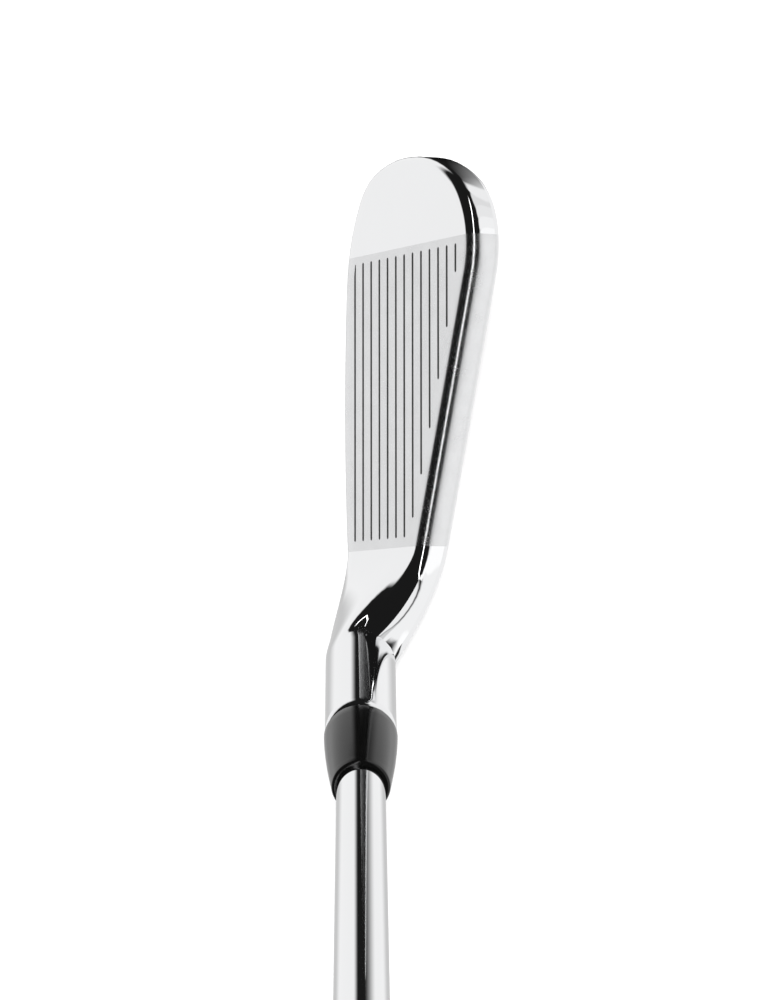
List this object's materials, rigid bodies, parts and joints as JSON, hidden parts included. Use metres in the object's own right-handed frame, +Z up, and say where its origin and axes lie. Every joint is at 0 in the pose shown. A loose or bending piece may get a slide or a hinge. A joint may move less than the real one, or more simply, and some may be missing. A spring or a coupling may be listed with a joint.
{
  "type": "iron golf club",
  "caption": "Right-handed iron golf club: chromed cavity-back head with score lines, black ferrule, stepped steel shaft and black rubber grip.",
  "frame": {"origin": "the point where the shaft's axis meets the ground with the club soled at address", "axes": "+Z up from the ground, -X towards the toe and +X the way the shaft leans, -Y the way the face looks (towards the target), +Y behind the head"},
  "size_m": [0.5374, 0.0416, 0.8381],
  "materials": {
    "chrome_head": "polished chrome over cast stainless steel, satin where blasted",
    "chrome_face": "satin chrome between the outer score-line ends, polished at the toe",
    "tungsten": "sintered, matt",
    "urethane": "cast urethane, matt",
    "damper_rubber": "soft, matt",
    "badge_metal": "brushed, dark anodised",
    "pin_brass": "turned",
    "epoxy": "cured adhesive",
    "ferrule_plastic": "gloss black",
    "shaft_chrome": "polished chrome plate on steel tube",
    "band_film": "plain printed film",
    "tape": "double-sided paper tape",
    "grip_rubber": "matt moulded rubber with a fine raised pattern",
    "cap_rubber": "smooth moulded rubber"
  },
  "bodies": {
    "root": {"clubhead_body": "chrome_head", "face_plate": "chrome_face", "toe_weight": "tungsten", "damping_insert": "urethane", "badge_damper_pad": "damper_rubber", "cavity_badge": "badge_metal", "tip_weight_pin": "pin_brass", "hosel_bond_sleeve": "epoxy", "ferrule": "ferrule_plastic", "shaft": "shaft_chrome", "shaft_band": "band_film", "grip_tape": "tape", "grip_sleeve": "grip_rubber", "grip_end_cap": "cap_rubber"}
  },
  "joints": []
}
